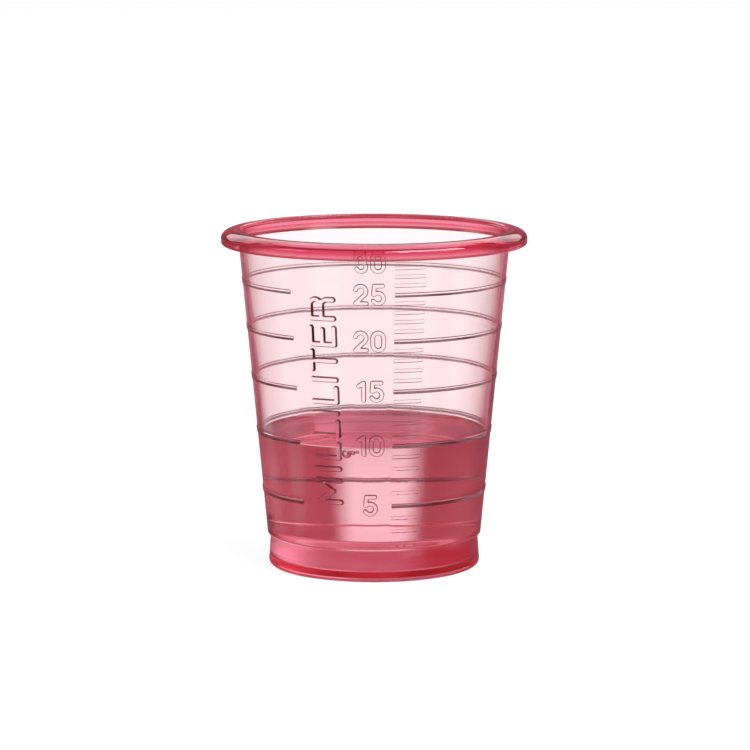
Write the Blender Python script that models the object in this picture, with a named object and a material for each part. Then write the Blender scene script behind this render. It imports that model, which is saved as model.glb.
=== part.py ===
"""Medicine cup for 30 ml: a thin moulded cup with a stepped foot, a domed rim and a raised scale, part filled.

Lengths are in metres, +Z is up, and the origin is the centre of the foot where it stands on the table.
The front of the cup, where the short lines start, faces -Y. Angles are turned from the front towards +X.
"""

import math

import bmesh
import bpy

# The cup as a whole
CUP_HEIGHT = 0.0440
TURN_SEGMENTS = 72

# The conical body, measured outside
BODY_RADIUS_AT_STEP = 0.01395
BODY_DRAFT = math.radians(5.38)
WALL_AT_STEP = 0.00070
WALL_AT_RIM = 0.00045

# The domed rim, with the groove that is moulded into its underside
RIM_OVERHANG = 0.00213
RIM_HEIGHT = 0.00200
RIM_DOME_WIDTH = 0.00183
RIM_DOME_DROP = 0.00109
RIM_EDGE_FILLET = 0.00045
RIM_GROOVE_WIDTH = 0.00080
RIM_GROOVE_DEPTH = 0.00100
LIP_FILLET = 0.00020

# The foot, which is a step narrower than the body and flares to the table
FOOT_HEIGHT = 0.00400
STEP_DEPTH = 0.00042
FOOT_FLARE = 0.00024
FOOT_EDGE_FILLET = 0.00069
FOOT_WALL = 0.00070
FOOT_RING_WIDTH = 0.00120
FOOT_RECESS_FILLET = 0.00020

# The floor, which lies above the table inside the foot
FLOOR_HEIGHT = 0.00120
FLOOR_THICKNESS = 0.00070
FLOOR_FILLET = 0.00080
LEDGE_THICKNESS = 0.00060

# The raised scale: short lines beside the numbers, and long lines round the cup at each fifth millilitre
MILLILITRE = 1e-6
FIRST_LINE_ML = 2
CAPACITY_ML = 30
LONG_LINE_STEP_ML = 5
LINE_WIDTH = 0.00040
LINE_HEIGHT = 0.00012
LINE_CREST_SHARE = 0.5
LINE_ROOT_DEPTH = 0.00020
LINE_START = math.radians(8.7)
SHORT_LINE_END = math.radians(22.0)
LONG_LINE_END = math.radians(322.0)
LINE_CLEARANCE = 0.00010

# The medicine in the cup
FILL_ML = 10
LIQUID_CLEARANCE = 0.00030

# Steps along the rounded corners
DOME_STEPS = 6
FILLET_STEPS = 4
SMALL_FILLET_STEPS = 2

CUP_COLOUR = (0.87, 0.22, 0.32, 1.0)
CUP_ROUGHNESS = 0.12
LIQUID_COLOUR = (0.80, 0.20, 0.30, 1.0)
LIQUID_ROUGHNESS = 0.03


def body_radius(height):
    """Outer radius of the conical body at a height above the table."""
    return BODY_RADIUS_AT_STEP + math.tan(BODY_DRAFT) * (height - FOOT_HEIGHT)


def wall_thickness(height):
    """Thickness of the body's wall, which thins evenly from the step to the top."""
    share = (height - FOOT_HEIGHT) / (CUP_HEIGHT - FOOT_HEIGHT)
    return WALL_AT_STEP + (WALL_AT_RIM - WALL_AT_STEP) * share


def bore_radius(height):
    """Inner radius of the conical body at a height above the table."""
    return body_radius(height) - wall_thickness(height)


def corner(centre_r, centre_z, radius_r, radius_z, start, end, steps):
    """Points along an elliptical corner from one angle to another, both in quarter turns."""
    points = []
    for step in range(steps + 1):
        angle = math.pi / 2 * (start + (end - start) * step / steps)
        points.append((centre_r + radius_r * math.cos(angle), centre_z + radius_z * math.sin(angle)))
    return points


def inside_points(inset):
    """Outline of the cup's inside, from the middle of the floor to below the lip, drawn in by inset."""
    floor = FLOOR_HEIGHT + inset
    foot_bore = BODY_RADIUS_AT_STEP - STEP_DEPTH - FOOT_WALL - inset
    fillet = FLOOR_FILLET - inset
    ledge = FOOT_HEIGHT + LEDGE_THICKNESS + inset
    ledge_run = bore_radius(ledge) - inset - foot_bore
    points = [(0.0, floor)]
    points += corner(foot_bore - fillet, floor + fillet, fillet, fillet, -1, 0, FILLET_STEPS)
    points += [(foot_bore, ledge - ledge_run / 2)]
    points += [(bore_radius(ledge + ledge_run / 2) - inset, ledge + ledge_run / 2)]
    return points


def outside_points():
    """Outline of the cup's outside, from the middle of the recess under the floor to the top of the rim."""
    foot_top = BODY_RADIUS_AT_STEP - STEP_DEPTH
    foot_bottom = foot_top + FOOT_FLARE
    recess = FLOOR_HEIGHT - FLOOR_THICKNESS
    recess_radius = foot_bottom - FOOT_RING_WIDTH
    points = [(0.0, recess), (recess_radius, recess)]
    points += corner(recess_radius + FOOT_RECESS_FILLET, FOOT_RECESS_FILLET,
                     FOOT_RECESS_FILLET, FOOT_RECESS_FILLET, 2, 3, SMALL_FILLET_STEPS)
    points += corner(foot_bottom - FOOT_EDGE_FILLET, FOOT_EDGE_FILLET,
                     FOOT_EDGE_FILLET, FOOT_EDGE_FILLET, -1, 0, FILLET_STEPS)
    points += corner(foot_top, FOOT_HEIGHT + STEP_DEPTH, STEP_DEPTH, STEP_DEPTH, -1, 0, FILLET_STEPS)

    rim_bottom = CUP_HEIGHT - RIM_HEIGHT
    groove_top = rim_bottom + RIM_GROOVE_DEPTH
    groove_radius = body_radius(groove_top) + RIM_GROOVE_WIDTH
    points += [(body_radius(groove_top), groove_top), (groove_radius, groove_top), (groove_radius, rim_bottom)]

    rim_radius = body_radius(CUP_HEIGHT) + RIM_OVERHANG
    points += corner(rim_radius - RIM_EDGE_FILLET, rim_bottom + RIM_EDGE_FILLET,
                     RIM_EDGE_FILLET, RIM_EDGE_FILLET, -1, 0, FILLET_STEPS)
    points += corner(rim_radius - RIM_DOME_WIDTH, CUP_HEIGHT - RIM_DOME_DROP,
                     RIM_DOME_WIDTH, RIM_DOME_DROP, 0, 1, DOME_STEPS)
    return points


def cup_points():
    """Whole outline of the cup: up the outside, over the rim and down the inside."""
    lip_radius = bore_radius(CUP_HEIGHT)
    lip = corner(lip_radius + LIP_FILLET, CUP_HEIGHT - LIP_FILLET, LIP_FILLET, LIP_FILLET, 1, 2, SMALL_FILLET_STEPS)
    return outside_points() + lip + inside_points(0.0)[::-1]


def frustum_volume(low, high):
    """Volume between two points of an outline that is turned about the axis."""
    (r_low, z_low), (r_high, z_high) = low, high
    return math.pi / 3 * (z_high - z_low) * (r_low ** 2 + r_low * r_high + r_high ** 2)


def fill_height(volume):
    """Height of a liquid surface above the table when the cup holds this volume."""
    outline = inside_points(0.0) + [(bore_radius(CUP_HEIGHT), CUP_HEIGHT)]
    held = 0.0
    for low, high in zip(outline, outline[1:]):
        part = frustum_volume(low, high)
        if held + part >= volume:
            break
        held += part
    bottom, top = low[1], high[1]
    for _ in range(50):
        middle = (bottom + top) / 2
        share = (middle - low[1]) / (high[1] - low[1])
        level = (low[0] + (high[0] - low[0]) * share, middle)
        if held + frustum_volume(low, level) < volume:
            bottom = middle
        else:
            top = middle
    return bottom


def add_object(name, mesh_data, material):
    """Put a finished mesh into the scene as a named, smooth shaded object."""
    bmesh.ops.recalc_face_normals(mesh_data, faces=mesh_data.faces)
    mesh = bpy.data.meshes.new(name)
    mesh_data.to_mesh(mesh)
    mesh_data.free()
    mesh.shade_smooth()
    mesh.set_sharp_from_angle(angle=math.radians(35))
    mesh.materials.append(material)
    part = bpy.data.objects.new(name, mesh)
    bpy.context.scene.collection.objects.link(part)
    return part


def turned(points):
    """Solid made by turning an outline, which starts and ends on the axis, once round that axis."""
    solid = bmesh.new()
    outline = [solid.verts.new((radius, 0.0, height)) for radius, height in points]
    edges = [solid.edges.new(pair) for pair in zip(outline, outline[1:])]
    bmesh.ops.spin(solid, geom=outline + edges, axis=(0, 0, 1), cent=(0, 0, 0),
                   angle=math.tau, steps=TURN_SEGMENTS, use_merge=True)
    bmesh.ops.remove_doubles(solid, verts=solid.verts, dist=1e-7)
    return solid


def line_angles(start, end):
    """Angles along a raised line: its two ends, and the edges of the cup's facets between them."""
    facet = math.tau / TURN_SEGMENTS
    first = math.floor(start / facet) + 1
    last = math.ceil(end / facet) - 1
    return [start] + [facet * index for index in range(first, last + 1)] + [end]


def add_line(scale, height, start, end):
    """Add one raised line to the scale, a low ridge that is rooted inside the wall."""
    half = LINE_WIDTH / 2
    crest = half * LINE_CREST_SHARE
    section = [(-half, -LINE_ROOT_DEPTH), (half, -LINE_ROOT_DEPTH), (half, 0.0),
               (crest, LINE_HEIGHT), (-crest, LINE_HEIGHT), (-half, 0.0)]
    rings = []
    for angle in line_angles(start, end):
        ring = []
        for rise, lift in section:
            radius = body_radius(height + rise) + lift
            ring.append(scale.verts.new((radius * math.sin(angle), -radius * math.cos(angle), height + rise)))
        rings.append(ring)
    for near, far in zip(rings, rings[1:]):
        for index in range(len(section)):
            after = (index + 1) % len(section)
            scale.faces.new((near[index], near[after], far[after], far[index]))
    scale.faces.new(rings[0][::-1])
    scale.faces.new(rings[-1])


def scale_lines():
    """Every raised line of the scale that clears the rim, each at the height where the cup holds its volume."""
    scale = bmesh.new()
    highest = CUP_HEIGHT - RIM_HEIGHT - LINE_WIDTH / 2 - LINE_CLEARANCE
    for millilitres in range(FIRST_LINE_ML, CAPACITY_ML):
        height = fill_height(millilitres * MILLILITRE)
        if height > highest:
            break
        is_long = millilitres % LONG_LINE_STEP_ML == 0
        add_line(scale, height, LINE_START, LONG_LINE_END if is_long else SHORT_LINE_END)
    return scale


def liquid_points():
    """Outline of the liquid, which keeps clear of the cup and is level on top."""
    level = fill_height(FILL_ML * MILLILITRE)
    surface_radius = bore_radius(level) - LIQUID_CLEARANCE
    return inside_points(LIQUID_CLEARANCE) + [(surface_radius, level), (0.0, level)]


def plastic(name, colour, roughness, ior):
    """See-through material with a colour, a roughness and an index of refraction."""
    material = bpy.data.materials.new(name)
    material.use_nodes = True
    shader = material.node_tree.nodes["Principled BSDF"]
    shader.inputs["Base Color"].default_value = colour
    shader.inputs["Roughness"].default_value = roughness
    shader.inputs["Metallic"].default_value = 0.0
    shader.inputs["IOR"].default_value = ior
    shader.inputs["Transmission Weight"].default_value = 1.0
    material.diffuse_color = colour
    return material


def make_cup():
    """Cup with its raised scale, one moulded piece."""
    material = plastic("tinted_polypropylene", CUP_COLOUR, CUP_ROUGHNESS, 1.49)
    cup = add_object("cup", turned(cup_points()), material)
    scale = add_object("scale_guide", scale_lines(), material)
    scale.hide_render = True
    scale.display_type = "WIRE"
    join = cup.modifiers.new("raised_scale", "BOOLEAN")
    join.operation = "UNION"
    join.solver = "EXACT"
    join.object = scale


def make_liquid():
    """Medicine that stands in the cup."""
    material = plastic("red_medicine", LIQUID_COLOUR, LIQUID_ROUGHNESS, 1.34)
    add_object("medicine_liquid", turned(liquid_points()), material)


def main():
    """Clear the scene and model the cup and its liquid."""
    for old in list(bpy.data.objects):
        bpy.data.objects.remove(old, do_unlink=True)
    make_cup()
    make_liquid()


main()
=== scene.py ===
"""Looks of a medicine cup for 30 ml: tinted see-through plastic with a raised scale, and red medicine in it.

Lengths are in metres in the frame of the solids: +Z is up, and the foot stands on the origin.
The front of the cup faces -Y, and angles round the cup are turned from the front towards +X.
"""

import logging
import math
from collections.abc import Sequence
from dataclasses import dataclass, replace
from enum import Enum

import bmesh
import bpy
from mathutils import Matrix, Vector
from mathutils.geometry import delaunay_2d_cdt


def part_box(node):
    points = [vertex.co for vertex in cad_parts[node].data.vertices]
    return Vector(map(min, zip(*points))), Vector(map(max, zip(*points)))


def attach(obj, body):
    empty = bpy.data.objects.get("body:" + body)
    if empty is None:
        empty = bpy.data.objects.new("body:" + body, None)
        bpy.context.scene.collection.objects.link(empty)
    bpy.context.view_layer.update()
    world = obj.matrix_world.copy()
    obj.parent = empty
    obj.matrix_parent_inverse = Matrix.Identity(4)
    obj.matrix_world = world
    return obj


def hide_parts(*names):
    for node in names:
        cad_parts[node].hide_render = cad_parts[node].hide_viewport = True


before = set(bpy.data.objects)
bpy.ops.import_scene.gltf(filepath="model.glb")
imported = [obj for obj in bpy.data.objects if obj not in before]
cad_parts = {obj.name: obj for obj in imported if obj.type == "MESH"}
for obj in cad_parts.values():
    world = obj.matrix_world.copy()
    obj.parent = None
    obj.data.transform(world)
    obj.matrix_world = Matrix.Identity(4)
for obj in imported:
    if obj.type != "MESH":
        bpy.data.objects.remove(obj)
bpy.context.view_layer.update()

LOG = logging.getLogger("medicine_cup")
MM = 0.001
MILLILITRE = 1e-6

# Attribute of the cup that holds how steep the sides of its raised lines and characters are, which sets how
# much painted shade those sides get
FLANKS = "flank_steepness"

# Distances within which the points of a turned outline or of a swept ridge count as one
TURNED_MERGE = 1e-7
RIDGE_MERGE = 1e-8

# How often the search for the level of a liquid halves its range
HALVINGS = 40

# The kind of triangulation that keeps what lies inside its outlines, and its tolerance in millimetres
INSIDE_ONLY = 1
FLAT_TOLERANCE = 1e-4

Point = tuple[float, float]
Place = tuple[float, float, float]
Colour = tuple[float, float, float, float]


class Reading(Enum):
    """Way in which raised characters run over the wall."""

    ROUND_THE_CUP = "round the cup"
    UP_THE_WALL = "up the wall"


def corner(centre: Point, radii: Point, start: float, end: float, steps: int) -> list[Point]:
    """Points along an elliptical corner.

    Args:
        centre: Middle of the ellipse, as radius and height.
        radii: Half axes of the ellipse, along the radius and the height.
        start: First angle, in quarter turns.
        end: Last angle, in quarter turns.
        steps: Number of steps from the first to the last.

    Returns:
        The points, both ends included.
    """
    points = []
    for step in range(steps + 1):
        angle = math.pi / 2 * (start + (end - start) * step / steps)
        points.append((centre[0] + radii[0] * math.cos(angle), centre[1] + radii[1] * math.sin(angle)))
    return points


def frustum_volume(low: Point, high: Point) -> float:
    """Volume between two points of an outline that is turned about the axis."""
    return math.pi / 3 * (high[1] - low[1]) * (low[0] ** 2 + low[0] * high[0] + high[0] ** 2)


@dataclass(frozen=True)
class CupForm:
    """Sizes of the moulded cup, those of its solid but for the ledge inside, which is a soft curve here."""

    height: float
    rim_radius: float
    body_radius_at_step: float = 13.95 * MM
    body_draft: float = math.radians(5.38)
    wall_at_step: float = 0.70 * MM
    wall_at_rim: float = 0.45 * MM
    rim_height: float = 2.00 * MM
    rim_dome: Point = (1.83 * MM, 1.09 * MM)
    rim_edge_fillet: float = 0.45 * MM
    groove_width: float = 0.80 * MM
    groove_depth: float = 1.00 * MM
    lip_fillet: float = 0.20 * MM
    foot_height: float = 4.00 * MM
    step_depth: float = 0.42 * MM
    foot_flare: float = 0.24 * MM
    foot_edge_fillet: float = 0.69 * MM
    foot_wall: float = 0.70 * MM
    foot_ring_width: float = 1.20 * MM
    recess_fillet: float = 0.20 * MM
    floor_height: float = 1.20 * MM
    floor_thickness: float = 0.70 * MM
    floor_fillet: float = 0.80 * MM
    ledge_thickness: float = 0.60 * MM
    ledge_blend: float = 1.60 * MM
    ledge_steps: int = 16
    fillet_steps: int = 10

    def outer(self, height: float) -> float:
        """Outer radius of the conical body at a height."""
        return self.body_radius_at_step + math.tan(self.body_draft) * (height - self.foot_height)

    def bore(self, height: float) -> float:
        """Inner radius of the conical body at a height, where the wall thins evenly towards the rim."""
        share = (height - self.foot_height) / (self.height - self.foot_height)
        return self.outer(height) - self.wall_at_step - (self.wall_at_rim - self.wall_at_step) * share

    def inside(self, inset: float = 0.0) -> list[Point]:
        """Outline of the inside.

        Args:
            inset: Distance by which the outline is drawn in from the wall.

        Returns:
            Points from the middle of the floor to the top of the ledge that widens the foot into the body.
        """
        floor = self.floor_height + inset
        foot_bore = self.body_radius_at_step - self.step_depth - self.foot_wall - inset
        fillet = self.floor_fillet - inset
        ledge = self.foot_height + self.ledge_thickness + inset
        points = [(0.0, floor)]
        points += corner((foot_bore - fillet, floor + fillet), (fillet, fillet), -1, 0, self.fillet_steps)
        for step in range(self.ledge_steps + 1):
            share = step / self.ledge_steps
            height = ledge + (share - 0.5) * self.ledge_blend
            eased = share * share * (3.0 - 2.0 * share)
            points.append((foot_bore + (self.bore(height) - inset - foot_bore) * eased, height))
        return points

    def outside(self) -> list[Point]:
        """Outline of the outside, from the middle of the recess under the floor to the top of the rim.

        Returns:
            The points, which go up from the axis.
        """
        foot_top = self.body_radius_at_step - self.step_depth
        foot_bottom = foot_top + self.foot_flare
        recess = self.floor_height - self.floor_thickness
        recess_radius = foot_bottom - self.foot_ring_width
        small, edge, step = self.recess_fillet, self.foot_edge_fillet, self.step_depth
        points = [(0.0, recess), (recess_radius, recess)]
        points += corner((recess_radius + small, small), (small, small), 2, 3, self.fillet_steps)
        points += corner((foot_bottom - edge, edge), (edge, edge), -1, 0, self.fillet_steps)
        points += corner((foot_top, self.foot_height + step), (step, step), -1, 0, self.fillet_steps)
        rim_bottom = self.height - self.rim_height
        groove_top = rim_bottom + self.groove_depth
        groove_start = self.outer(groove_top)
        groove_end = groove_start + self.groove_width
        points += [(groove_start, groove_top), (groove_end, groove_top), (groove_end, rim_bottom)]
        edge = self.rim_edge_fillet
        points += corner((self.rim_radius - edge, rim_bottom + edge), (edge, edge), -1, 0, self.fillet_steps)
        dome = (self.rim_radius - self.rim_dome[0], self.height - self.rim_dome[1])
        points += corner(dome, self.rim_dome, 0, 1, 2 * self.fillet_steps)
        return points

    def outline(self) -> list[Point]:
        """Whole outline: up the outside, over the rim and down the inside.

        Returns:
            The points, which start and end on the axis.
        """
        lip = self.lip_fillet
        top = corner((self.bore(self.height) + lip, self.height - lip), (lip, lip), 1, 2, self.fillet_steps)
        return self.outside() + top + self.inside()[::-1]

    def level(self, volume: float) -> float:
        """Height of the surface of a volume of liquid in the cup.

        Args:
            volume: The volume in cubic metres.

        Returns:
            The height above the table.
        """
        outline = self.inside() + [(self.bore(self.height), self.height)]
        held = 0.0
        for low, high in zip(outline, outline[1:]):
            part = frustum_volume(low, high)
            if held + part >= volume:
                break
            held += part
        bottom, top = low[1], high[1]
        for _ in range(HALVINGS):
            middle = (bottom + top) / 2
            share = (middle - low[1]) / (high[1] - low[1])
            if held + frustum_volume(low, (low[0] + (high[0] - low[0]) * share, middle)) < volume:
                bottom = middle
            else:
                top = middle
        return bottom


@dataclass(frozen=True)
class Straight:
    """Straight stroke of a raised character, in its own plane."""

    start: Point
    end: Point

    def distance(self, x: float, y: float) -> float:
        """Distance from a point to the stroke.

        Args:
            x: Place of the point along the writing.
            y: Its height above the foot of the writing.

        Returns:
            The distance.
        """
        run, rise = self.end[0] - self.start[0], self.end[1] - self.start[1]
        share = ((x - self.start[0]) * run + (y - self.start[1]) * rise) / (run * run + rise * rise)
        share = min(max(share, 0.0), 1.0)
        return math.hypot(x - self.start[0] - run * share, y - self.start[1] - rise * share)

    def outline(self, reach: float, spacing: float) -> list[Point]:
        """Closed outline at a distance round the stroke, with round ends.

        Args:
            reach: Distance of the outline from the stroke.
            spacing: About how far apart the points along the stroke lie.

        Returns:
            The points, counter-clockwise.
        """
        heading = math.atan2(self.end[1] - self.start[1], self.end[0] - self.start[0])
        length = math.dist(self.start, self.end)
        count = max(1, round(length / spacing))
        points = []
        for origin, turn in ((self.start, heading), (self.end, heading + math.pi)):
            side = (reach * math.cos(turn - math.pi / 2), reach * math.sin(turn - math.pi / 2))
            for step in range(count):
                along = length * step / count
                points.append((origin[0] + along * math.cos(turn) + side[0],
                               origin[1] + along * math.sin(turn) + side[1]))
            far = (origin[0] + length * math.cos(turn), origin[1] + length * math.sin(turn))
            points += round_end(far, reach, turn - math.pi / 2)
        return points


@dataclass(frozen=True)
class Bow:
    """Stroke along an arc, counter-clockwise from one angle in degrees to another, in its own plane."""

    centre: Point
    radius: float
    start: float
    end: float

    def distance(self, x: float, y: float) -> float:
        """Distance from a point to the stroke.

        Args:
            x: Place of the point along the writing.
            y: Its height above the foot of the writing.

        Returns:
            The distance.
        """
        angle = math.degrees(math.atan2(y - self.centre[1], x - self.centre[0]))
        if (angle - self.start) % 360.0 <= self.end - self.start:
            return abs(math.hypot(x - self.centre[0], y - self.centre[1]) - self.radius)
        return min(math.dist((x, y), self.tip(self.start)), math.dist((x, y), self.tip(self.end)))

    def tip(self, angle: float, offset: float = 0.0) -> Point:
        """Point of the arc at an angle in degrees, moved out by an offset.

        Args:
            angle: The angle, counter-clockwise from the direction of the writing.
            offset: Distance from the arc, away from its centre.

        Returns:
            The point.
        """
        reach = self.radius + offset
        turn = math.radians(angle)
        return (self.centre[0] + reach * math.cos(turn), self.centre[1] + reach * math.sin(turn))

    def outline(self, reach: float, spacing: float) -> list[Point]:
        """Closed outline at a distance round the stroke, with round ends.

        Args:
            reach: Distance of the outline from the stroke.
            spacing: About how far apart the points along the stroke lie.

        Returns:
            The points, counter-clockwise.
        """
        sweep = self.end - self.start
        count = max(2, round(math.radians(sweep) * self.radius / spacing))
        points = [self.tip(self.start + sweep * step / count, reach) for step in range(count)]
        points += round_end(self.tip(self.end), reach, math.radians(self.end))
        points += [self.tip(self.end - sweep * step / count, -reach) for step in range(count)]
        points += round_end(self.tip(self.start), reach, math.radians(self.start + 180.0))
        return points


def round_end(centre: Point, reach: float, start: float, steps: int = 14) -> list[Point]:
    """Half circle of points round the end of a stroke, counter-clockwise from an angle in radians."""
    return [(centre[0] + reach * math.cos(start + math.pi * step / steps),
             centre[1] + reach * math.sin(start + math.pi * step / steps)) for step in range(steps)]


Stroke = Straight | Bow


def distance_to(strokes: Sequence[Stroke], x: float, y: float) -> float:
    """Distance from a point to the nearest of some strokes."""
    return min(stroke.distance(x, y) for stroke in strokes)


@dataclass(frozen=True)
class Character:
    """A raised character, as the middle lines of its strokes, with the height of those lines as the unit.

    Attributes:
        width: Width of the middle lines.
        strokes: The strokes, from the lower left corner.
        gap_before: Room that the character keeps before it, over that of every character.
        gap_after: Room that it keeps after it.
    """

    width: float
    strokes: tuple[Stroke, ...]
    gap_before: float = 0.0
    gap_after: float = 0.0


STEM = Straight((0, 0), (0, 1))

CHARACTERS: dict[str, Character] = {
    "0": Character(0.61, (Bow((0.305, 0.695), 0.305, 0, 180), Bow((0.305, 0.305), 0.305, 180, 360),
                          Straight((0, 0.305), (0, 0.695)), Straight((0.61, 0.305), (0.61, 0.695)))),
    "1": Character(0.40, (Straight((0.34, 0), (0.34, 1)), Straight((0.34, 1), (0.06, 0.80)))),
    "2": Character(0.61, (Bow((0.305, 0.70), 0.30, -36, 165), Straight((0.548, 0.524), (0, 0)),
                          Straight((0, 0), (0.61, 0)))),
    "3": Character(0.61, (Bow((0.30, 0.75), 0.25, -90, 155), Bow((0.33, 0.27), 0.27, -155, 90))),
    "5": Character(0.61, (Straight((0.10, 1), (0.56, 1)), Straight((0.10, 1), (0.06, 0.52)),
                          Bow((0.305, 0.305), 0.305, -150, 136))),
    "E": Character(0.673, (STEM, Straight((0, 1), (0.673, 1)), Straight((0, 0.5), (0.60, 0.5)),
                           Straight((0, 0), (0.673, 0))), 0.119, 0.038),
    "I": Character(0.0, (STEM,), 0.119, 0.119),
    "L": Character(0.567, (STEM, Straight((0, 0), (0.567, 0))), 0.119, 0.0),
    "M": Character(0.90, (STEM, Straight((0, 1), (0.45, 0.30)), Straight((0.45, 0.30), (0.90, 1)),
                          Straight((0.90, 1), (0.90, 0))), 0.119, 0.131),
    "R": Character(0.779, (STEM, Straight((0, 1), (0.53, 1)), Bow((0.53, 0.751), 0.249, -90, 90),
                           Straight((0, 0.502), (0.53, 0.502)), Bow((0.53, 0.253), 0.249, 0, 90),
                           Straight((0.779, 0.253), (0.779, 0))), 0.119, 0.05),
    "T": Character(0.728, (Straight((0, 1), (0.728, 1)), Straight((0.364, 0), (0.364, 1))), 0.061, -0.045),
}


def new_object(name: str, mesh: bpy.types.Mesh) -> bpy.types.Object:
    """Put a mesh into the scene under a name.

    Args:
        name: Name of the object.
        mesh: The mesh.

    Returns:
        The object that holds the mesh.
    """
    made = bpy.data.objects.new(name, mesh)
    bpy.context.scene.collection.objects.link(made)
    return made


def mesh_from(name: str, work: bmesh.types.BMesh) -> bpy.types.Mesh:
    """Mesh datablock from a bmesh, which is freed.

    Args:
        name: Name of the mesh.
        work: The bmesh.

    Returns:
        The mesh.
    """
    mesh = bpy.data.meshes.new(name)
    work.to_mesh(mesh)
    work.free()
    return mesh


def turned(name: str, outline: Sequence[Point], segments: int) -> bpy.types.Mesh:
    """Closed mesh made by turning an outline, which starts and ends on the axis, once round that axis.

    Args:
        name: Name of the mesh.
        outline: The points as radius and height.
        segments: Faces round the axis.

    Returns:
        The mesh, with its faces pointing outwards.
    """
    work = bmesh.new()
    verts = [work.verts.new((radius, 0.0, height)) for radius, height in outline]
    edges = [work.edges.new(pair) for pair in zip(verts, verts[1:])]
    bmesh.ops.spin(work, geom=verts + edges, axis=(0, 0, 1), cent=(0, 0, 0),
                   angle=math.tau, steps=segments, use_merge=True)
    bmesh.ops.remove_doubles(work, verts=work.verts, dist=TURNED_MERGE)
    bmesh.ops.recalc_face_normals(work, faces=work.faces)
    return mesh_from(name, work)


def plain_copy(source: bpy.types.Object, name: str) -> bpy.types.Mesh:
    """The evaluated mesh of an object, as a mesh of its own.

    Args:
        source: The object, whose modifiers are applied in the copy.
        name: Name of the mesh.

    Returns:
        The mesh.
    """
    depsgraph = bpy.context.evaluated_depsgraph_get()
    mesh = bpy.data.meshes.new_from_object(source.evaluated_get(depsgraph), depsgraph=depsgraph)
    mesh.name = name
    return mesh


def round_the_axis(angle: float, radius: float, height: float) -> Place:
    """Point at an angle from the front, a radius and a height."""
    return (radius * math.sin(angle), -radius * math.cos(angle), height)


@dataclass(frozen=True)
class Cutter:
    """Section that the mould's engraving leaves on the wall.

    Attributes:
        width: Width at the wall.
        lift: Height of the crest above the wall.
        flank: Width of each sloping side.
        root: Depth to which the solid reaches into the wall.
        skirt: Distance by which the sides run on past the wall's surface.
    """

    width: float
    lift: float
    flank: float
    root: float = 0.20 * MM
    skirt: float = 0.02 * MM

    def lift_at(self, distance: float) -> float:
        """Height above the wall at a distance from the middle of a stroke."""
        return self.lift * min(1.0, (self.width / 2 - distance) / self.flank)

    def reaches(self) -> tuple[float, ...]:
        """Distances from the middle of a stroke at which the section has a corner."""
        return (self.width / 2 + self.skirt, self.width / 2 - self.flank)


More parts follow.
